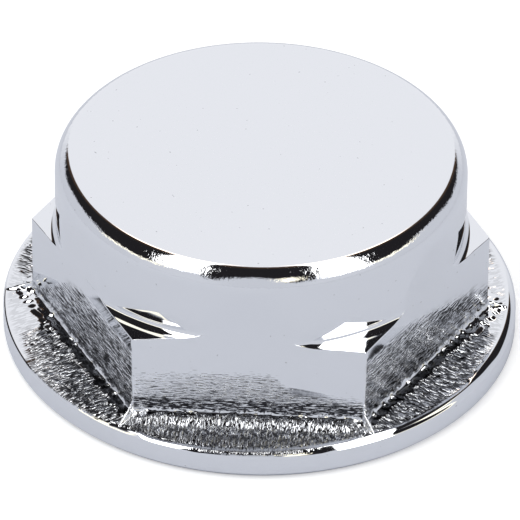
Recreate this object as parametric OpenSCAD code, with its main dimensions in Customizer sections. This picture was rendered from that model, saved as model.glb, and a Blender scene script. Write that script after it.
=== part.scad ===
// Cap nut: one turned and milled metal piece with a round flange, a hexagon that runs
// into a plain round crown, and a blind threaded bore that opens at the seat.
// All lengths are in millimetres. The origin is the centre of the seat face, +Z is up,
// and one flat of the hexagon faces -Y.

/* [Flange] */
// Diameter of the round flange
flange_d = 41.5; // [40:0.1:46]
// Height of the upright wall of the flange's rim
rim_h = 2.1; // [1.6:0.1:2.3]
// Chamfer on the rim's lower edge
seat_chamfer = 0.45; // [0.2:0.05:0.8]
// Radius on the rim's upper edge
rim_edge_r = 0.3; // [0.2:0.05:0.6]
// Slope of the turned shoulder between the rim and the hexagon's corners, in degrees
shoulder_slope = 40; // [30:1:46]
// Height of the milled land between the rim and the flats
land_h = 2.5; // [2.4:0.05:2.9]
// Thickness of the webs that the milling leaves between the flats and the shoulder
web_t = 0.4; // [0.2:0.05:0.8]

/* [Hexagon] */
// Width across the flats
across_flats = 32; // [31:0.1:32.6]
// Diameter across the turned corners
corner_d = 36.8; // [36:0.1:37]
// Height of the ledges on the corners above the seat
ledge_h = 9.4; // [8.4:0.1:11]
// Radius of the hollow foot between a flat and the land
foot_r = 0.4; // [0.2:0.05:0.8]
// Height at which the flats begin to run out into the crown
runout_z = 8.5; // [6:0.1:9]
// Radius of the arc in which the flats run out
runout_r = 38; // [24:1:60]

/* [Crown] */
// Diameter of the round crown
crown_d = 33.1; // [32.6:0.1:34]
// Overall height of the nut
nut_h = 16.75; // [15.5:0.05:19]
// Radius on the crown's upper edge
crown_edge_r = 1.5; // [0.8:0.1:2.5]
// How much smaller the crown's radius is at the ledges
neck_gap = 0.25; // [0.1:0.05:0.4]
// Height at which the crown reaches its full diameter
neck_z = 12.4; // [11.6:0.1:14]
// Radius of the hollow between a ledge and the crown
ledge_r = 0.6; // [0.3:0.05:0.9]

/* [Threaded bore] */
// Diameter of the bore at the thread's crests
bore_d = 23.92; // [20:0.02:25]
// Outer diameter of the thread
thread_d = 25; // [24:0.1:26]
// Thickness of the closed top over the bore
top_wall = 3.4; // [2.5:0.1:5]
// Length of the relief groove at the thread's inner end
relief_len = 1.8; // [1:0.1:3]
// Depth of the relief groove past the thread's outer diameter, on the radius
relief_gap = 0.1; // [0.05:0.05:0.3]
// Width of the entry chamfer past the thread's outer diameter, on the radius
entry_gap = 0.3; // [0.1:0.05:0.8]

/* [Hidden] */
$fn = 180;
flats = 6;
flange_r = flange_d / 2;
flat_a = across_flats / 2;
corner_r = corner_d / 2;
crown_r = crown_d / 2;
bore_r = bore_d / 2;
relief_r = thread_d / 2 + relief_gap;
entry_r = thread_d / 2 + entry_gap;
bore_end = nut_h - top_wall;
// Radius of the arc in which the crown narrows towards the ledges
neck_r = ((neck_z - ledge_h) ^ 2 + neck_gap ^ 2) / (2 * neck_gap);
// Centre of the rim's rounded edge, the end of its arc, and the shoulder's height at the corners
edge_centre = [flange_r - rim_edge_r, rim_h];
edge_end = edge_centre + rim_edge_r * [sin(shoulder_slope), cos(shoulder_slope)];
shoulder_h = edge_end[1] + (edge_end[0] - corner_r) * tan(shoulder_slope);
// Radius at which the shoulder meets the land
land_r = edge_end[0] - (land_h - edge_end[1]) / tan(shoulder_slope);
// Length past a face by which a cut clears it
clear = 1;

// Sector of a disc that rounds an outer corner at its own origin, up from +X by the angle turn
module round_corner(r, turn = 90) {
    intersection() {
        circle(r);
        polygon([[0, 0], [2 * r, 0], 2 * r * [cos(turn), sin(turn)]]);
    }
}

// Sharp inner corner less a quarter disc, with the corner at its own origin
module hollow_corner(r) {
    difference() {
        square(r);
        translate([r, r]) circle(r);
    }
}

// Half section of the flange: chamfered and rounded rim, and the shoulder up to the corners
module flange_section() {
    polygon([
        [0, 0],
        [flange_r - seat_chamfer, 0],
        [flange_r, seat_chamfer],
        [flange_r, rim_h],
        edge_centre,
        edge_end,
        [corner_r, shoulder_h],
        [0, shoulder_h]
    ]);
    translate(edge_centre) round_corner(rim_edge_r, 90 - shoulder_slope);
}

// Half section of the turned body that the hexagon is cut from
module body_section() {
    square([corner_r, ledge_h]);
}

// Half section of the crown: it narrows towards the ledges, and its upper edge is rounded
module crown_section() {
    wall_top = nut_h - crown_edge_r;
    translate([0, neck_z]) square([crown_r, wall_top - neck_z]);
    intersection() {
        translate([crown_r - neck_r, neck_z]) circle(neck_r, $fn = 720);
        square([crown_r, neck_z]);
    }
    square([crown_r - crown_edge_r, nut_h]);
    translate([crown_r - crown_edge_r, wall_top]) round_corner(crown_edge_r);
    translate([crown_r - neck_gap, ledge_h]) hollow_corner(ledge_r);
}

module turned_blank() {
    rotate_extrude() union() {
        flange_section();
        body_section();
        crown_section();
    }
}

// Section of the cutter for one flat: x is the distance from the axis, y the height.
// It leaves the land and the hollow foot, and runs out in an arc towards the crown.
module cutter_section() {
    reach = flange_r + clear - flat_a;
    translate([flat_a, land_h]) difference() {
        square([reach, runout_z - land_h]);
        hollow_corner(foot_r);
    }
    intersection() {
        translate([flat_a + runout_r, runout_z]) circle(runout_r, $fn = 1440);
        translate([flat_a, runout_z]) square([reach, nut_h - runout_z]);
    }
}

module flat_cutter() {
    rotate([90, 0, 0]) translate([0, 0, -flange_r]) linear_extrude(2 * flange_r) cutter_section();
}

// Thin webs of the turned shoulder that stand between the corners and the rim
module webs() {
    intersection() {
        rotate_extrude() polygon([
            [0, 0],
            [land_r, 0],
            [land_r, land_h],
            [flat_a, land_h + (land_r - flat_a) * tan(shoulder_slope)],
            [0, land_h + (land_r - flat_a) * tan(shoulder_slope)]
        ]);
        for (i = [0 : flats - 1])
            rotate([0, 0, -90 + (i + 0.5) * 360 / flats])
                translate([flat_a, -web_t / 2, land_h / 2])
                    cube([land_r - web_t / 2 - flat_a, web_t, ledge_h - land_h]);
    }
}

// Blind bore at the thread's crests, with an entry chamfer and a relief groove
module bore() {
    rotate_extrude() polygon([
        [0, -clear],
        [entry_r + clear, -clear],
        [bore_r, entry_r - bore_r],
        [bore_r, bore_end - relief_len],
        [relief_r, bore_end - relief_len],
        [relief_r, bore_end],
        [0, bore_end]
    ]);
}

module nut() {
    color([0.82, 0.83, 0.85]) difference() {
        union() {
            difference() {
                turned_blank();
                for (i = [0 : flats - 1]) rotate([0, 0, -90 + i * 360 / flats]) flat_cutter();
            }
            webs();
        }
        bore();
    }
}

nut();
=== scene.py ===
"""Looks of the cap nut: one chromed skin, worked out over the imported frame, in a plain pale studio."""
import math

import bpy
import numpy as np
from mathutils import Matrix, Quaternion, Vector


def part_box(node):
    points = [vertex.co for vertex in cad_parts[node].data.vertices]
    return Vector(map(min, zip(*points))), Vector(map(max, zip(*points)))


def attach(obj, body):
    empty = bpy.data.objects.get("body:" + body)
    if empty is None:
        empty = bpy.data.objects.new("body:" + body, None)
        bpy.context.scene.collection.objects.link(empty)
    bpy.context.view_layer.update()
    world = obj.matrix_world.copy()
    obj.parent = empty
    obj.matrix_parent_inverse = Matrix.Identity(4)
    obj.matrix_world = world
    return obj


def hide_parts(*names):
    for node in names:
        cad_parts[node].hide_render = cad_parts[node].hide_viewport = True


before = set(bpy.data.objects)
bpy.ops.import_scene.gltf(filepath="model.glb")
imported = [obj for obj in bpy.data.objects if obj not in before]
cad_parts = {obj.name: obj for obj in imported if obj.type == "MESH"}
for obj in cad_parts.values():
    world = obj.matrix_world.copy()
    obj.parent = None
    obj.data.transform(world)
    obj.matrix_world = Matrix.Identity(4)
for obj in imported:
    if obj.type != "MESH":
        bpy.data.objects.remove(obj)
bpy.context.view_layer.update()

# Sizes of the nut in millimetres. The frame gives the flange and the height.
MM = 0.001
nut_low, nut_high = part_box("nut")
FLANGE_R = (nut_high.x - nut_low.x) / 2 / MM
NUT_H = nut_high.z / MM
SEAT_CHAMFER = 0.45
RIM_H = 2.1
LAND_H = 2.5
SHOULDER_R = 20.44
SHOULDER_SLOPE = math.radians(40)
FLAT_A = 16.0
FOOT_R = 0.4
RUNOUT_H = 8.5
RUNOUT_R = 38.0
LEDGE_H = 9.4
CROWN_R = 16.55
NECK_H = 12.4
NECK_R = 18.125
CROWN_EDGE_R = 1.5
BORE_R = 11.96
THREAD_R = 12.5
PITCH = 1.0
ENTRY_R = 12.8
RELIEF_R = 12.6
RELIEF_LEN = 1.8
BORE_END = NUT_H - 3.4

# The photograph's view, fitted to the nut's outline and edges.
IMAGE_PX = 520
FOCAL_PX = 9000
CAMERA_LIFT = math.radians(37.05)
CAMERA_TURN = math.radians(2.8)
CAMERA_ROLL = math.radians(0.75)
CAMERA_AWAY = 0.7303
ORIGIN_PX = (259.3, 321.4)

# Columns round the nut: fine over the ground foot, coarser over the polished forms.
FINE, MIDDLE, COARSE, BORE = 864, 432, 192, 96
SECTOR = math.pi / 3
CORNER_CROWDING = 0.4
FLAT_STRIDE = 40.0
WEB_HALF = 0.12
FINE_TOP = 8.7
WAVY_TOP = 4.5

# The rim's rounded edge, the ground land and the ledges, in millimetres and degrees.
EDGE_LEAST = 0.18
EDGE_MORE = 0.62
EDGE_SIDE = math.radians(65)
LAND_FALL = 1.3
FRONT_BANK = 0.32
SIDE_BANK = 0.11
LEDGE_WIDTH = 1.24
LEDGE_TILT = 0.6

# The hollow behind the ledges: slopes in degrees, rising inward, at places past the ledge's width.
HOLLOW_PLACES = [-0.02, 0.06, 0.28, 0.85, 1.20]
HOLLOW_SLOPES = [6.5, 3, 3, 50, 97.5]


def column_angles(count):
    """Azimuths from -Y towards +X, closer together at the hexagon's corners than on its flats."""
    sectors = 6 * np.arange(count) / count
    part = sectors - np.floor(sectors)
    warped = part + CORNER_CROWDING * np.sin(2 * np.pi * part) / (2 * np.pi)
    return SECTOR * (np.floor(sectors) + warped)


def ease(x, low, high):
    """Cubic step from 0 at low to 1 at high, level at both ends."""
    t = np.clip((x - low) / (high - low), 0, 1)
    return t * t * (3 - 2 * t)


def arc(start, stop, rows):
    return np.linspace(start, stop, rows)[:, None]


def lesser(first, second, soft):
    """The smaller of two lengths, with the corner between them rounded over the length soft."""
    return (first + second - np.sqrt((first - second) ** 2 + soft**2)) / 2


def flat_place(turn, radius):
    """Number of the nearest flat, and the distances along that flat and out from the axis."""
    number = np.round(turn / SECTOR)
    off = turn - number * SECTOR
    return np.mod(number, 6), radius * np.sin(off), radius * np.cos(off)


def from_corner(turn):
    """Angle from the nearest corner of the hexagon."""
    return np.abs(np.mod(turn, SECTOR) - SECTOR / 2)


def hexagon_radius(turn, apothem, edge_r=0.17):
    """Polar radius of a hexagon whose corners are rounded by edge_r.

    On a flat it is apothem / cos(angle from the flat's middle). Round a corner it is the far
    side of a circle of radius edge_r that touches both flats.
    """
    off = from_corner(turn)
    straight = apothem / np.cos(SECTOR / 2 - off)
    centre = (apothem - edge_r) / math.cos(SECTOR / 2)
    inside = np.maximum(edge_r**2 - (centre * np.sin(off)) ** 2, 0)
    rounded = centre * np.cos(off) + np.sqrt(inside)
    reach = np.arctan2(edge_r / 2, centre + edge_r * math.cos(SECTOR / 2))
    return np.where(off > reach, straight, rounded)


def lattice(across, up, seed, cells=256):
    """Smooth random heights from -1 to 1, one for each crossing of a square lattice."""
    table = np.random.default_rng(seed).uniform(-1, 1, (cells, cells))
    u, v = np.broadcast_arrays(across, up)
    i, j = np.floor(u).astype(int), np.floor(v).astype(int)
    s, t = u - i, v - j
    s, t = s * s * (3 - 2 * s), t * t * (3 - 2 * t)
    i0, i1, j0, j1 = i % cells, (i + 1) % cells, j % cells, (j + 1) % cells
    low = table[i0, j0] * (1 - s) + table[i1, j0] * s
    high = table[i0, j1] * (1 - s) + table[i1, j1] * s
    return low * (1 - t) + high * t


def near(turn, middle_deg, half_deg, core=0.5):
    """1 round an azimuth of middle_deg, fading from the share core to 0 at half_deg to either side."""
    off = np.degrees(np.abs((turn - math.radians(middle_deg) + np.pi) % (2 * np.pi) - np.pi))
    return 1 - ease(off, core * half_deg, half_deg)


class Skin:
    """The nut's surface as rings of points, from the bore's end out round the flange to the crown."""

    def __init__(self):
        self.points = []
        self.faces = []
        self.marks = []
        self.count = 0
        self.last = None

    def ring_ids(self, rows, columns):
        ids = self.count + np.arange(rows * columns).reshape(rows, columns)
        self.count += rows * columns
        return ids

    def add(self, turn, radius, height, marks=None, shift=0.0):
        """Adds rows of points at azimuths turn. The first row is joined to the last row before it."""
        radius, height = np.broadcast_arrays(radius + 0 * turn, height + 0 * turn)
        rows, columns = radius.shape
        ids = self.ring_ids(rows, columns)
        place = np.stack([radius * np.sin(turn), -radius * np.cos(turn), height], -1) + shift
        self.points.append(place.reshape(-1, 3))
        marks = np.zeros((rows, columns, 2)) if marks is None else marks
        self.marks.append(marks.reshape(-1, 2))
        after = np.roll(ids, -1, 1)
        quads = np.stack([ids[:-1], after[:-1], after[1:], ids[1:]], -1)
        self.faces.append(quads.reshape(-1, 4))
        if self.last is not None:
            self.join(self.last, (ids[0], turn))
        self.last = (ids[-1], turn)

    def join(self, lower, upper):
        """Closes the strip between two rings with different numbers of points.

        The rings' edges are taken in the order of their middles, and each makes a triangle with
        the point that the other ring has reached.
        """
        (low_ids, low_turn), (up_ids, up_turn) = lower, upper
        if len(low_ids) == len(up_ids):
            after_low, after_up = np.roll(low_ids, -1), np.roll(up_ids, -1)
            self.faces.append(np.stack([low_ids, after_low, after_up, up_ids], -1))
            return
        low_middle = low_turn + np.diff(np.append(low_turn, low_turn[0] + 2 * np.pi)) / 2
        up_middle = up_turn + np.diff(np.append(up_turn, up_turn[0] + 2 * np.pi)) / 2
        at_low = np.searchsorted(up_middle, low_middle) % len(up_ids)
        at_up = np.searchsorted(low_middle, up_middle, side="right") % len(low_ids)
        self.faces.append(np.stack([low_ids, np.roll(low_ids, -1), up_ids[at_low]], -1))
        self.faces.append(np.stack([low_ids[at_up], np.roll(up_ids, -1), up_ids], -1))

    def close(self, height, start):
        """Closes the first or the last ring with a fan to a point on the axis."""
        pole = self.count
        self.count += 1
        self.points.append(np.array([[0, 0, height]]))
        self.marks.append(np.zeros((1, 2)))
        ids = self.first_ids if start else self.last[0]
        after = np.roll(ids, -1)
        fan = [after, ids, np.full_like(ids, pole)] if start else [ids, after, np.full_like(ids, pole)]
        self.faces.append(np.stack(fan, -1))


def thread_and_bore(skin):
    """Blind bore: flat end, relief groove, helical thread and entry chamfer.

    The thread's radius follows a triangle wave of height minus pitch times turns, so it climbs
    one pitch in each turn, and the chamfer cuts it off at the mouth.
    """
    turn = 2 * np.pi * np.arange(BORE) / BORE
    end = np.array([3.0, 7.0, 11.0, RELIEF_R - 0.25, RELIEF_R - 0.07, RELIEF_R, RELIEF_R])[:, None]
    end_z = BORE_END - np.array([0, 0, 0, 0, 0.07, 0.25, 0.9])[:, None]
    skin.add(turn, end, end_z)
    skin.first_ids = np.arange(BORE)
    groove_z = BORE_END - RELIEF_LEN
    skin.add(turn, np.array([[RELIEF_R], [RELIEF_R - 0.05]]), np.array([[groove_z + 0.05], [groove_z]]))
    height = arc(groove_z - 0.01, 0.02, 76)
    phase = np.mod(height / PITCH - turn / (2 * np.pi), 1)
    wave = 1 - np.abs(2 * phase - 1)
    depth = (THREAD_R - BORE_R) * np.clip(1.25 * wave - 0.1, 0, 1)
    fade = 1 - ease(height, groove_z - 0.6, groove_z)
    mouth = ENTRY_R - height
    skin.add(turn, np.maximum(BORE_R + depth * fade, mouth), height)


def seat_and_rim(skin, turn):
    """Seat face, and the chamfer with softened corners up to the rim's wall."""
    t = arc(0, 1, 5)
    face = np.array([ENTRY_R + 0.06, ENTRY_R + 0.6, 16.0, FLANGE_R - SEAT_CHAMFER - 0.6])[:, None]
    skin.add(turn, face, 0 * face)
    soft = 0.13
    slant = soft * math.sqrt(0.5)
    corners = [(FLANGE_R - SEAT_CHAMFER, 0.0), (FLANGE_R, SEAT_CHAMFER)]
    ends = [((-soft, 0.0), (slant, slant)), ((-slant, -slant), (0.0, soft))]
    for (r0, z0), ((ra, za), (rb, zb)) in zip(corners, ends):
        skin.add(turn, r0 + ra * (1 - t) ** 2 + rb * t**2, z0 + za * (1 - t) ** 2 + zb * t**2)


def rim_edge_width(turn):
    """Width of the flange's rounded edge. The wheel that polished it took more off one side."""
    more = (0.5 + 0.5 * np.cos(turn - EDGE_SIDE)) ** 2.6
    return EDGE_LEAST + EDGE_MORE * more * (1 - 0.5 * near(turn, 47, 20, 0.5))


def with_web(turn, radius, height):
    """Raises the land at a corner to the turned shoulder, which still stands there as a thin web."""
    shoulder = LAND_H + (SHOULDER_R - radius) * math.tan(SHOULDER_SLOPE)
    across = radius * np.sin(from_corner(turn))
    web = np.exp(-((across / WEB_HALF) ** 1.5))
    worn = near(turn, -90, 25) + near(turn, 90, 25)
    return height + np.maximum(shoulder - height, 0) * web * (0.65 - 0.35 * worn)


def rim_edge(turn):
    """Polished edge of the flange, as wide as the polishing left it at each azimuth.

    Its slope turns quickly from the wall into a long bevel, and then eases over to the level land.
    The bevel is steeper in front on the left, and on the right where brushing has narrowed it.
    On the far left it is a steep wall with a short bevel over it.
    """
    width = rim_edge_width(turn)
    steep, brushed, left = near(turn, -40, 20, 0.75), near(turn, 47, 20, 0.5), near(turn, -106, 50, 0.7)
    t = arc(0, 1, 41)
    first = 46 - 7 * steep - 3 * brushed - 16 * left
    last = 72 - 31 * steep - 22 * brushed - 2 * left
    turned = ease(t, 0.2 + 0.2 * left, 0.85 - 0.35 * left)
    lean = first * ease(t, -0.2, 0.24) + (last - first) * turned + (88 - last) * ease(t, 0.84 + 0.08 * left, 1)
    lean = np.radians(lean * ease(t, -0.1, 0.1))
    inward, rise = np.cumsum(np.sin(lean), 0), np.cumsum(np.cos(lean), 0)
    take = [0, 3, 7, 12, 18, 24, 30, 35, 38, 40]
    radius = FLANGE_R - width * (inward[take] - inward[0]) / (inward[-1] - inward[0])
    return radius, RIM_H + width * (rise[take] - rise[0]) / (inward[-1] - inward[0])


def teeth_line(number, place):
    """Distance from the axis at which the combed grain of the land begins, a ragged line."""
    return np.where(number == 0, 16.35, 17.0) + 0.25 * lattice(place / 0.35, 0 * place, 7)


def bank(turn, radius):
    """Height of the metal left at the flats' foot: broad and falling on the front, a low step elsewhere."""
    number, along, out = flat_place(turn, radius)
    broad = (number == 0) * (1 - ease(np.abs(along), 8.0, 9.1))
    teeth = teeth_line(number, along + FLAT_STRIDE * number)
    narrow = 1 - ease(out, teeth - 0.1, teeth + 0.25)
    return FRONT_BANK * broad * (1 - ease(out, 16.4, 17.8)) + SIDE_BANK * (1 - broad) * narrow


def land(turn, rows=18):
    """Land between the rim's edge and the toe of the flats' foot. It falls a little to a low edge."""
    edge_radius, edge_height = (part[-1] for part in rim_edge(turn))
    toe = hexagon_radius(turn, FLAT_A + FOOT_R)
    t = arc(0, 1, rows + 2)[1:-1]
    radius = edge_radius + (toe - edge_radius) * t
    fall = LAND_FALL * (1 + 1.2 * near(turn, -90, 50, 0.75))
    risen = lesser((edge_radius - radius) / fall, 1, 0.15)
    height = edge_height + (LAND_H - edge_height) * risen + bank(turn, radius)
    return radius, with_web(turn, radius, height)


def foot(turn):
    """Small hollow foot of each flat: a quarter circle carried along the flat."""
    a = arc(np.pi / 2, 0, 9)
    radius = hexagon_radius(turn, FLAT_A + FOOT_R * (1 - np.cos(a)))
    toe = LAND_H + bank(turn, hexagon_radius(turn, FLAT_A + FOOT_R))
    return radius, with_web(turn, radius, toe + FOOT_R * (1 - np.sin(a)))


def flat_radius(turn, height):
    """Radius of the hexagon at a height. Above the run-out each flat leans out in an arc."""
    lean = np.maximum(height - RUNOUT_H, 0) ** 2 / (2 * RUNOUT_R)
    return hexagon_radius(turn, FLAT_A + lean)


def wall(turn, start_height):
    """Lower part of the flats, with close rows where they were ground above the foot."""
    low = start_height + (WAVY_TOP - start_height) * arc(0, 1, 14)[1:]
    high = WAVY_TOP + (FINE_TOP - WAVY_TOP) * arc(0, 1, 20)[1:] + 0 * turn
    height = np.concatenate([low, high])
    return flat_radius(turn, height), height


def neck_radius(height):
    """Radius of the crown's neck, an arc that reaches the full crown at its upper end."""
    return CROWN_R - np.maximum(NECK_H - height, 0) ** 2 / (2 * NECK_R)


def ledge_section():
    """Turned section above the corners, as radius, height and a count of rows along it.

    It runs in over the ledge, which rises a little, up through the hollow that the turning tool
    left and on up the neck. The section's slope is given along its length.
    """
    along = np.linspace(-1.0, LEDGE_WIDTH + HOLLOW_PLACES[-1], 420)
    past = along - LEDGE_WIDTH
    slope = np.interp(past, HOLLOW_PLACES, HOLLOW_SLOPES)
    step = along[1] - along[0]
    inward = np.cumsum(np.cos(np.radians(slope))) * step
    rise = np.cumsum(np.sin(np.radians(slope))) * step
    corner = np.argmin(np.abs(along))
    rise = LEDGE_H + rise - rise[corner]
    radius = neck_radius(rise[-1]) + inward[-1] - inward
    share = np.where(past < -0.1, 0.8, 5.0)[1:]
    up = np.linspace(rise[-1], NECK_H, 30)[1:]
    share = np.concatenate([[0], share, 0 * up + 0.9])
    radius = np.concatenate([radius, neck_radius(up)])
    height = np.concatenate([rise, up])
    length = np.hypot(np.diff(radius, prepend=radius[0]), np.diff(height, prepend=height[0]))
    return radius, height, np.cumsum(length * share)


def ledges(turn):
    """Top of the flats, their rounded upper edge, the ledges and the crown's neck behind them.

    Each column follows the turned section from the point where its radius is the flat's, so
    the ledges narrow to a tip where the flat is no wider than the neck. The flat's upper edge is
    a quadratic curve with its control point on the sharp corner.
    """
    radius, height, rows = ledge_section()
    narrow = np.argmin(radius)
    flat = flat_radius(turn, LEDGE_H)
    begin = np.interp(-flat, -radius[: narrow + 1], rows[: narrow + 1])
    corner_z = np.interp(begin, rows, height)
    edge = 0.05
    t = arc(0, 1, 9)[1:]
    wall_z = FINE_TOP + (corner_z - edge - FINE_TOP) * t
    at = begin + edge + (rows[-1] - begin - edge) * arc(0, 1, 32)
    section_z = np.interp(at, rows, height)
    section_r = lesser(np.interp(at, rows, radius), flat_radius(turn, section_z), 0.03)
    t = arc(0, 1, 6)[1:-1]
    curve_r = flat_radius(turn, corner_z - edge) * (1 - t**2) + section_r[0] * t**2
    curve_z = (corner_z - edge) * (1 - t) ** 2 + 2 * corner_z * t * (1 - t) + section_z[0] * t**2
    all_r = np.concatenate([flat_radius(turn, wall_z), curve_r, section_r])
    all_z = np.concatenate([wall_z, curve_z, section_z])
    side = np.degrees(np.mod(turn + np.pi, 2 * np.pi) - np.pi)
    raised = np.clip((side + 52) / 40, 0, 1) * ease(side, -56, -48) * (1 - ease(side, -9, 4))
    raised = raised * ease(all_z, 8.7, 9.3) * (1 - ease(all_z, 10.2, 12.2))
    return all_r, all_z + LEDGE_TILT * raised


def crown(skin, turn):
    """Crown's wall, its quarter-round edge and the flat top."""
    height = arc(NECK_H, NUT_H - CROWN_EDGE_R, 8)[1:]
    skin.add(turn, lesser(flat_radius(turn, height), CROWN_R, 0.03), height)
    a = arc(0, np.pi / 2, 19)[1:]
    inner = CROWN_R - CROWN_EDGE_R
    skin.add(turn, inner + CROWN_EDGE_R * np.cos(a), NUT_H - CROWN_EDGE_R * (1 - np.sin(a)))
    top = np.array([14.96, 14.0, 12.5, 9.0, 4.5])[:, None]
    skin.add(turn, top, NUT_H + 0 * top)


def surface_normals(place):
    """Outward unit normals of a band of rings, from the differences between neighbours."""
    round_way = np.roll(place, -1, 1) - np.roll(place, 1, 1)
    up_way = np.gradient(place, axis=0)
    normal = np.cross(round_way, up_way)
    return normal / np.linalg.norm(normal, axis=-1, keepdims=True)


def grinding(turn, radius, height, rows):
    """Relief left by grinding, in millimetres along the normal, and two marks for the material.

    rows says how many rows are rim edge, land, foot and wall, from the outside in. The first mark
    is the share of scratched grain on the flats, and it also covers the land between the foot and
    the combed grain, where the material paints shade; the second is that of combed grain on the
    land. The material paints shade with both marks.
    """
    edge_rows, land_rows, foot_rows, wall_rows = rows
    total = sum(rows)
    index = np.arange(total)[:, None]
    number, along, out = flat_place(turn, radius)
    place = along + FLAT_STRIDE * number
    foot_start = edge_rows + land_rows
    wall_start = foot_start + foot_rows
    on_land = ease(index, edge_rows - 1.0, edge_rows + 2.0) * (1 - ease(index, foot_start, foot_start + 4.0))
    web = np.exp(-((radius * np.sin(from_corner(turn)) / 0.3) ** 2))
    left_rim = near(turn, -72, 36) * ease(radius, 19.3, 20.1)
    calm = np.clip(near(turn, -84, 16) + near(turn, 93, 22) + left_rim, 0, 1)
    front = number == 0
    stroke = np.where(front, 1.7, 0.8)
    comb = lattice(place / 0.34, out / stroke, 3) + 0.5 * lattice(place / 0.6, out / stroke, 4)
    pits = lattice(place / 0.34, out / 0.3, 1)
    teeth = teeth_line(number, place)
    past_teeth = ease(out, teeth - 0.1, teeth + 0.15)
    near_teeth = 1 - ease(out, teeth + 0.7, teeth + 1.9)
    coarse = np.where(number == 1, 1.4, 1.0)
    clumps = np.clip(0.5 + lattice(place / 2.4, 0 * out, 12), 0, 1)
    land_relief = past_teeth * coarse * ((0.024 + 0.02 * near_teeth * clumps) * comb + 0.012 * pits)
    land_relief = land_relief * (1 - 0.85 * calm) - 0.03 * calm * np.clip(pits - 0.45, 0, 1)
    wavy_top = np.where(front, 4.3, 3.6)
    on_wavy = ease(index, wall_start - 2.0, wall_start + 2.0) * (1 - ease(height, wavy_top - 0.4, wavy_top))
    waves = lattice(place / 1.6, height / 0.2, 5) + 0.5 * lattice(place / 0.6, height / 0.2, 6)
    on_foot = (1 - ease(out, 16.3, 16.9)) * (1 - ease(height, 3.0, 3.6))
    rough = np.where(front, 0.05, 0.1)
    swell = 0.03 * lattice(place / 1.1, 0 * out, 8) + rough * lattice(place / 0.4, height / 0.3, 9)
    specked = near(turn, 2, 18) * ease(index, 1.0, 4.0) * (1 - ease(index, edge_rows - 2.0, edge_rows + 1.0))
    specked = specked + near(turn, -47, 18) * ease(radius, 19.5, 19.9) * ease(index, 4.0, 7.0)
    relief = land_relief * on_land * (1 - web) + 0.05 * waves * on_wavy + swell * on_foot
    relief = relief + 0.03 * specked * lattice(place / 0.3, out / 0.2, 10)
    streaked = near(turn, 47, 20) * ease(index, 1.0, 4.0) * (1 - ease(index, edge_rows - 1.0, edge_rows + 1.0))
    relief = relief + 0.03 * streaked * lattice(place / 4.0, radius / 0.2, 11)
    ends = ease(index, 1.0, 5.0) * (1 - ease(index, total - 5.0, total - 1.0))
    left_top = np.interp(along, [-8.4, -5.8, -2.8, 0, 9.2], [3.4, 5.2, 7.7, 8.6, 8.9])
    right_top = np.interp(along, [-9.2, -2.8, 7.5, 9.2], [8.6, 8.6, 6.0, 5.0])
    top = np.select([number == 0, number == 5], [7.4 - 2.2 * ease(along, 1.5, 4.0), left_top], right_top)
    fading = np.clip((top - height) / np.where(front, 0.9, 0.8), 0, 1)
    level = np.select([front & (height > 4.2), number == 5, number == 1], [0.6, 1.0, 0.6], 0.8)
    # Painted shadow: the land between the foot and the combed grain gets the first mark, so that the material
    # paints it dark.
    shaded_gap = on_land * (1 - past_teeth) * (1 - calm)
    ground = ease(index, foot_start + 2.0, foot_start + 6.0) * fading * level + shaded_gap
    ground = ground * (1 - np.exp(-((radius * np.sin(from_corner(turn)) / 0.12) ** 2)))
    combed = on_land * (1 - web) * (1 - 0.8 * calm) * past_teeth + 0.8 * specked
    marks = np.stack([ground * (1 - ease(index, total - 3.0, total - 1.0)), combed * ends], -1)
    return relief * ends, marks


def nut_skin():
    """The whole nut as one closed mesh, in millimetres."""
    skin = Skin()
    thread_and_bore(skin)
    coarse, middle, fine = (column_angles(count) for count in (COARSE, MIDDLE, FINE))
    seat_and_rim(skin, coarse)
    parts = [rim_edge(fine), land(fine), foot(fine)]
    parts.append(wall(fine, parts[-1][1][-1]))
    radius, height = (np.concatenate([part[i] + 0 * fine for part in parts]) for i in (0, 1))
    place = np.stack([radius * np.sin(fine), -radius * np.cos(fine), height], -1)
    relief, marks = grinding(fine, radius, height, [len(part[0]) for part in parts])
    skin.add(fine, radius, height, marks, surface_normals(place) * relief[..., None])
    skin.add(middle, *ledges(middle))
    crown(skin, coarse)
    skin.close(BORE_END, start=True)
    skin.close(NUT_H, start=False)
    return skin


def mesh_piece(name, skin):
    """Turns the rings into one Blender mesh, with the shares of grain at each point, which the material also
    uses to paint shade.
    """
    mesh = bpy.data.meshes.new(name)
    points = np.concatenate(skin.points) * MM
    loops = np.concatenate([part.ravel() for part in skin.faces])
    sizes = np.concatenate([np.full(len(part), part.shape[1]) for part in skin.faces])
    mesh.vertices.add(len(points))
    mesh.vertices.foreach_set("co", points.astype(np.float32).ravel())
    mesh.loops.add(len(loops))
    mesh.loops.foreach_set("vertex_index", loops.astype(np.int32))
    mesh.polygons.add(len(sizes))
    starts = np.concatenate([[0], np.cumsum(sizes)[:-1]])
    mesh.polygons.foreach_set("loop_start", starts.astype(np.int32))
    mesh.update(calc_edges=True)
    mesh.validate()
    mesh.shade_smooth()
    marks = np.concatenate(skin.marks).astype(np.float32)
    for column, mark in enumerate(("ground", "combed")):
        layer = mesh.attributes.new(mark, "FLOAT", "POINT")
        layer.data.foreach_set("value", np.ascontiguousarray(marks[:, column]))
    piece = bpy.data.objects.new(name, mesh)
    bpy.context.scene.collection.objects.link(piece)
    return piece


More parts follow.
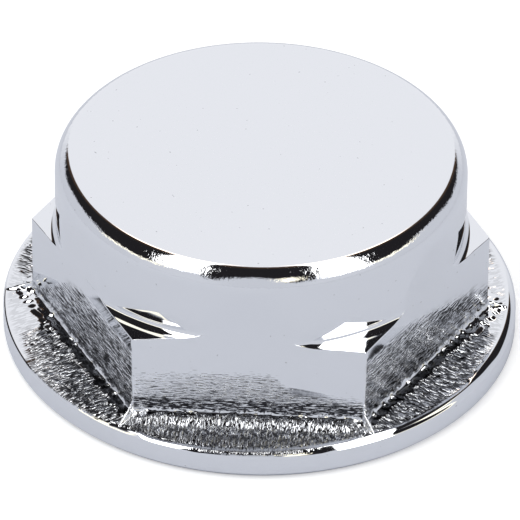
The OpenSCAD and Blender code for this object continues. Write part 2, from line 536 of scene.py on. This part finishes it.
class Wire:
    """An output socket of a node tree, so that a pattern can be written as a formula."""

    def __init__(self, tree, socket):
        self.tree = tree
        self.socket = socket

    def math(self, operation, *others):
        node = self.tree.nodes.new("ShaderNodeMath")
        node.operation = operation
        for socket, value in zip(node.inputs, (self, *others)):
            feed(self.tree, socket, value)
        return Wire(self.tree, node.outputs[0])

    def __add__(self, other):
        return self.math("ADD", other)

    def __sub__(self, other):
        return self.math("SUBTRACT", other)

    def __mul__(self, other):
        return self.math("MULTIPLY", other)

    def __truediv__(self, other):
        return self.math("DIVIDE", other)

    def __rsub__(self, other):
        return (self * -1) + other

    def size(self):
        return self.math("ABSOLUTE")

    def step(self, low, high):
        """0 below low, 1 above high, and smooth between. Low may be another wire."""
        t = ((self - low) / (high - low)) if not isinstance(low, Wire) else (self - low) / high
        return smooth(t)

    def least(self, other):
        return self.math("MINIMUM", other)

    def most(self, other):
        return self.math("MAXIMUM", other)


def smooth(wire):
    node = wire.tree.nodes.new("ShaderNodeMapRange")
    node.interpolation_type = "SMOOTHSTEP"
    feed(wire.tree, node.inputs["Value"], wire)
    return Wire(wire.tree, node.outputs["Result"])


def feed(tree, socket, value):
    """Links a wire to a socket, or sets the socket's own value."""
    if isinstance(value, Wire):
        tree.links.new(value.socket, socket)
    else:
        socket.default_value = value


def vector_math(tree, operation, *values):
    node = tree.nodes.new("ShaderNodeVectorMath")
    node.operation = operation
    for socket, value in zip(node.inputs, values):
        feed(tree, socket, value)
    output = "Value" if operation in ("DOT_PRODUCT", "LENGTH") else "Vector"
    return Wire(tree, node.outputs[output])


def mix_colours(tree, share, first, second):
    """first where share is 0, second where it is 1."""
    node = tree.nodes.new("ShaderNodeMix")
    node.data_type = "RGBA"
    feed(tree, node.inputs["Factor"], share)
    for name, value in (("A", first), ("B", second)):
        socket = [s for s in node.inputs if s.name == name and s.type == "RGBA"][0]
        feed(tree, socket, value if isinstance(value, Wire) else (*value, 1.0))
    return Wire(tree, [s for s in node.outputs if s.type == "RGBA"][0])


def noise(tree, vector, scale, detail=2.0, roughness=0.5):
    node = tree.nodes.new("ShaderNodeTexNoise")
    feed(tree, node.inputs["Vector"], vector)
    node.inputs["Scale"].default_value = scale
    node.inputs["Detail"].default_value = detail
    node.inputs["Roughness"].default_value = roughness
    return Wire(tree, node.outputs[0])


def new_tree(owner):
    owner.use_nodes = True
    owner.node_tree.nodes.clear()
    return owner.node_tree


def light_path(tree, name):
    return Wire(tree, tree.nodes.new("ShaderNodeLightPath").outputs[name])


def camera_direction():
    level = math.cos(CAMERA_LIFT)
    return Vector((level * math.sin(CAMERA_TURN), -level * math.cos(CAMERA_TURN), math.sin(CAMERA_LIFT)))


def make_camera():
    """Camera of the photograph's view: it looks at the nut from the front, a little to the right."""
    toward = camera_direction()
    data = bpy.data.cameras.new("view")
    data.sensor_width = 36.0
    data.lens = data.sensor_width * FOCAL_PX / IMAGE_PX
    data.clip_start, data.clip_end = 0.01, 20.0
    camera = bpy.data.objects.new("view", data)
    turn = toward.to_track_quat("Z", "Y") @ Quaternion((0, 0, 1), CAMERA_ROLL)
    pan = math.atan((ORIGIN_PX[0] - IMAGE_PX / 2) / FOCAL_PX)
    tilt = math.atan((ORIGIN_PX[1] - IMAGE_PX / 2) / FOCAL_PX)
    turn = turn @ Quaternion((0, 1, 0), pan) @ Quaternion((1, 0, 0), tilt)
    camera.rotation_mode = "QUATERNION"
    camera.rotation_quaternion = turn
    camera.location = toward * CAMERA_AWAY
    bpy.context.scene.collection.objects.link(camera)
    bpy.context.scene.camera = camera
    return camera


PALE = (0.66, 0.68, 0.74)
PALER = (0.71, 0.73, 0.79)
BACKDROP = (0.95, 0.96, 1.0)
DARK = (0.017, 0.016, 0.018)
BROWN = (0.09, 0.055, 0.035)
LAMP = (4.0, 4.0, 4.0)
STRIP = (3.0, 2.5, 2.1)
WARM = (1.7, 1.6, 1.3)


def studio_colour(tree):
    """What polished metal mirrors, by direction alone.

    A direction is named by the facing that would mirror it to the photograph's view: its turn
    round the nut from that view and its lean up from level, both in degrees. A pale sweep is
    below, a bright backdrop behind, a dark ceiling between, and two long lamps cross the ceiling.
    """
    ray = Wire(tree, tree.nodes.new("ShaderNodeTexCoord").outputs["Generated"])
    ray = vector_math(tree, "NORMALIZE", ray)
    facing = vector_math(tree, "NORMALIZE", vector_math(tree, "ADD", ray, tuple(camera_direction())))
    side = vector_math(tree, "DOT_PRODUCT", facing, (math.cos(CAMERA_TURN), math.sin(CAMERA_TURN), 0))
    front = vector_math(tree, "DOT_PRODUCT", facing, (math.sin(CAMERA_TURN), -math.cos(CAMERA_TURN), 0))
    up = vector_math(tree, "DOT_PRODUCT", facing, (0, 0, 1))
    degrees = 180 / math.pi
    turn = side.math("ARCTAN2", front) * degrees
    lean = up.math("ARCSINE") * degrees
    wide = (turn / 95).math("POWER", 4)
    band_top = 87 - wide * 16
    centre = 1 - turn.size().step(14, 17)
    bulge = (1 - (turn + 65).size().step(5, 14)) * 6 + (1 - (turn - 59).size().step(5, 12)) * 8
    dip = turn.size().step(28, 31) * (1 - turn.size().step(36, 49)) * 3.9
    band_foot = (wide * 28 + 43) - centre * 12 + bulge - dip
    lobe_top = 49 - ((turn + 2) / 2.7).math("POWER", 2)
    dark = (lean - band_foot).step(-0.8, 0.8) * (1 - (lean - band_top).step(-1.0, 1.0))
    dark = dark * (1 - (lobe_top - lean).step(-1.5, 1.5)) * (1 - turn.size().step(93, 96))
    glow = (lean - band_top).step(-9, 0)
    ceiling = mix_colours(tree, glow, DARK, BROWN)
    behind = (lean - band_top).step(-1.0, 1.0).most(turn.size().step(80, 110))
    brighter = 1 - (turn.size() - 24).size().step(6, 20)
    sweep = mix_colours(tree, brighter, PALE, PALER)
    open_colour = mix_colours(tree, behind, sweep, BACKDROP)
    colour = mix_colours(tree, dark, open_colour, ceiling)
    under = 1 - (lean - band_foot + 2.2).size().step(1.4, 2.2)
    under = under * turn.size().step(27, 31) * (1 - turn.size().step(47, 55))
    colour = mix_colours(tree, under, colour, WARM)
    strip = 1 - (lean - band_top - 0.8).size().step(1.0, 2.0)
    strip = strip * turn.size().step(12, 20) * (1 - turn.size().step(50, 62))
    colour = mix_colours(tree, strip, colour, STRIP)
    second = (1 - (turn - 8.5).size().step(2.6, 3.4)) * (1 - (lean - 41).size().step(5.0, 6.5))
    colour = mix_colours(tree, second, colour, WARM)
    for middle, half, slant, foot in ((-22.3, 6.5, -0.04, 41.3), (22.4, 6.8, 0.05, 33)):
        off = (turn - middle - (90 - lean) * slant).size()
        lamp = (1 - off.step(half - 0.4, half + 0.4)) * lean.step(foot - 0.5, foot + 0.5)
        lamp = lamp * (1 - lean.step(86.5, 88))
        colour = mix_colours(tree, lamp, colour, LAMP)
    return colour


def make_world():
    """White to the camera, plain light on what is matt, and the studio to polished metal."""
    world = bpy.data.worlds.new("studio")
    bpy.context.scene.world = world
    tree = new_tree(world)
    plain = tree.nodes.new("ShaderNodeBackground")
    plain.inputs["Color"].default_value = (1, 1, 1, 1)
    plain.inputs["Strength"].default_value = 0.8
    mirrored = tree.nodes.new("ShaderNodeBackground")
    feed(tree, mirrored.inputs["Color"], studio_colour(tree))
    seen = tree.nodes.new("ShaderNodeBackground")
    seen.inputs["Color"].default_value = (1, 1, 1, 1)
    seen.inputs["Strength"].default_value = 1.0
    shader = plain
    path = tree.nodes.new("ShaderNodeLightPath")
    for ray, branch in (("Is Glossy Ray", mirrored), ("Is Camera Ray", seen)):
        mix = tree.nodes.new("ShaderNodeMixShader")
        tree.links.new(path.outputs[ray], mix.inputs[0])
        tree.links.new(shader.outputs[0], mix.inputs[1])
        tree.links.new(branch.outputs[0], mix.inputs[2])
        shader = mix
    output = tree.nodes.new("ShaderNodeOutputWorld")
    tree.links.new(shader.outputs[0], output.inputs["Surface"])


def make_floor():
    """Plain pale floor: matt, white to the camera, and as pale as the sweep to polished metal."""
    half, low = 3.0, -0.01 * MM
    corners = [(-half, -half, low), (half, -half, low), (half, half, low), (-half, half, low)]
    mesh = bpy.data.meshes.new("floor")
    mesh.from_pydata(corners, [], [(0, 1, 2, 3)])
    floor = bpy.data.objects.new("floor", mesh)
    bpy.context.scene.collection.objects.link(floor)
    material = bpy.data.materials.new("pale_floor")
    tree = new_tree(material)
    matt = tree.nodes.new("ShaderNodeBsdfDiffuse")
    camera_ray = light_path(tree, "Is Camera Ray")
    feed(tree, matt.inputs["Color"], mix_colours(tree, camera_ray, PALE, (0.82, 0.82, 0.82)))
    lift = tree.nodes.new("ShaderNodeEmission")
    lift.inputs["Color"].default_value = (1, 1, 1, 1)
    feed(tree, lift.inputs["Strength"], camera_ray * 0.33)
    total = tree.nodes.new("ShaderNodeAddShader")
    tree.links.new(matt.outputs[0], total.inputs[0])
    tree.links.new(lift.outputs[0], total.inputs[1])
    output = tree.nodes.new("ShaderNodeOutputMaterial")
    tree.links.new(total.outputs[0], output.inputs["Surface"])
    mesh.materials.append(material)


def make_lamp():
    """One broad soft lamp overhead. Polished metal mirrors the studio in its place."""
    data = bpy.data.lights.new("soft_lamp", "AREA")
    data.shape = "DISK"
    data.size = 0.7
    data.energy = 2.2
    lamp = bpy.data.objects.new("soft_lamp", data)
    lamp.location = (-0.25, -0.2, 0.8)
    lamp.rotation_mode = "QUATERNION"
    lamp.rotation_quaternion = Vector(lamp.location).to_track_quat("Z", "Y")
    lamp.visible_glossy = False
    lamp.visible_camera = False
    bpy.context.scene.collection.objects.link(lamp)


METAL = (0.82, 0.83, 0.85)
# Painted shade: a dark base colour standing in for shade and dark reflections in the chrome's pits, scratches,
# ruts and gaps.
PAINTED_SHADE = (0.045, 0.045, 0.05)


def mark(tree, name):
    node = tree.nodes.new("ShaderNodeAttribute")
    node.attribute_name = name
    return Wire(tree, node.outputs["Fac"])


def joined(tree, *lengths):
    node = tree.nodes.new("ShaderNodeCombineXYZ")
    for socket, length in zip(node.inputs, lengths):
        feed(tree, socket, length)
    return Wire(tree, node.outputs[0])


def flat_lengths(tree):
    """Millimetres along the nearest flat, out from the axis and up, at the shaded point."""
    place = tree.nodes.new("ShaderNodeTexCoord").outputs["Object"]
    split = tree.nodes.new("ShaderNodeSeparateXYZ")
    tree.links.new(place, split.inputs[0])
    x, y, z = (Wire(tree, socket) * 1000 for socket in split.outputs)
    turn = x.math("ARCTAN2", y * -1)
    number = (turn / SECTOR).math("ROUND")
    off = turn - number * SECTOR
    radius = (x * x + y * y).math("SQRT")
    along = radius * off.math("SINE") + number * FLAT_STRIDE
    return along, radius * off.math("COSINE"), z


def chrome():
    """Bright chrome: a mirror where it was polished, scratched on the flats and combed on the land. Its base
    colour is painted dark with painted shade in the pits of the combed land, in the scratches, dashes and ruts
    of the ground flats and in a band by the flats' foot.
    """
    material = bpy.data.materials.new("chrome")
    tree = new_tree(material)
    shader = tree.nodes.new("ShaderNodeBsdfPrincipled")
    shader.inputs["Metallic"].default_value = 1.0
    ground, combed = mark(tree, "ground"), mark(tree, "combed")
    along, out, up = flat_lengths(tree)
    front = 1 - along.size().step(9.2, 9.6)
    comb = noise(tree, joined(tree, along / 0.22, out / 0.8, 0.0), 1.0, 1.0, 0.6)
    woven = noise(tree, joined(tree, (along - up * 0.4) / 0.9, up / 0.24, 5.0), 1.0, 1.0, 0.6)
    dashes = noise(tree, joined(tree, along / 0.8, up / 0.13, 9.0), 1.0, 1.0, 0.6)
    ruts = noise(tree, joined(tree, along / 0.9, up / 0.13, 4.0), 1.0, 2.0, 0.6)
    smudge = noise(tree, joined(tree, along / 2.0, up / 1.5, 2.0), 1.0, 1.0, 0.6)
    scratch = woven + (dashes - woven) * front
    # Painted shade over the combed outer land in front.
    outer_land_shade = front * out.step(18.0, 18.9) * combed
    edge = up.step(15.2, 15.6) * (1 - up.step(16.6, 16.75))
    grain = noise(tree, joined(tree, along / 0.5, out / 0.5, up / 0.35), 1.0, 3.0, 0.7)
    fleck = noise(tree, joined(tree, along / 0.45, out / 0.3, up / 0.3), 1.0, 1.0, 0.6).step(0.77, 0.8)
    feed(tree, shader.inputs["Roughness"], ground * 0.06 + combed * 0.015 + 0.035)
    bump = tree.nodes.new("ShaderNodeBump")
    bump.inputs["Distance"].default_value = 0.00014
    feed(tree, bump.inputs["Strength"], (ground + combed + edge * 0.15).least(1.0))
    feed(tree, bump.inputs["Height"], scratch * ground + comb * combed + grain * edge)
    tree.links.new(bump.outputs["Normal"], shader.inputs["Normal"])
    toothed = front * (1 - out.step(17.4, 18.4))
    # Painted shade in the pits of the combed land, where the comb pattern is low; a little less of it by the
    # teeth in front.
    pit_shade = ((1 - comb.step(0.46, 0.58)) * combed * (0.9 - toothed * 0.3)).most(outer_land_shade * 0.7)
    # Painted shade in the scratches of the ground side flats, patchy with the smudge pattern.
    scratch_shade = (1 - woven.step(0.4, 0.62)) * (1 - front) * (1.2 - smudge.step(0.38, 0.62))
    # Painted shade in the dashes and ruts of the ground front flat; the ruts keep to a low band above the
    # foot. The dashes and ruts are real grinding marks, their darkness is painted.
    low = (1 - (up + (ruts - 0.5) * 2.5).step(3.9, 4.2)) * (up + (comb - 0.5) * 0.6).step(3.02, 3.1)
    dash_shade = (1 - (dashes + up * 0.04).step(0.54, 0.6)) * front * 1.4
    rut_shade = (1 - ruts.step(0.5, 0.54)) * low * front * 1.4
    # Painted shadow in a ragged band across the side flats just above the foot, and below 2.64 mm, on the land
    # between the foot and the combed grain.
    band_shade = (1 - (up - 3.15 + (comb - 0.5) * 0.9).size().step(0.1, 0.35)).most(1 - up.step(2.62, 2.66))
    band_shade = band_shade * (1 - front) * 0.9
    # The base colour is painted dark with these masks: painted shade in pits, scratches, dashes, ruts and the
    # shaded band, and small dark flecks all over.
    dark = pit_shade.most(((scratch_shade.most(band_shade) + dash_shade.most(rut_shade)) * ground).least(1.0)).most(fleck * 0.4)
    feed(tree, shader.inputs["Base Color"], mix_colours(tree, dark, METAL, PAINTED_SHADE))
    output = tree.nodes.new("ShaderNodeOutputMaterial")
    tree.links.new(shader.outputs[0], output.inputs["Surface"])
    return material


make_camera()
make_world()
make_floor()
make_lamp()
nut = mesh_piece("chromed_nut", nut_skin())
nut.data.materials.append(chrome())
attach(nut, "root")
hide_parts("nut")
bpy.context.scene.view_settings.view_transform = "Standard"
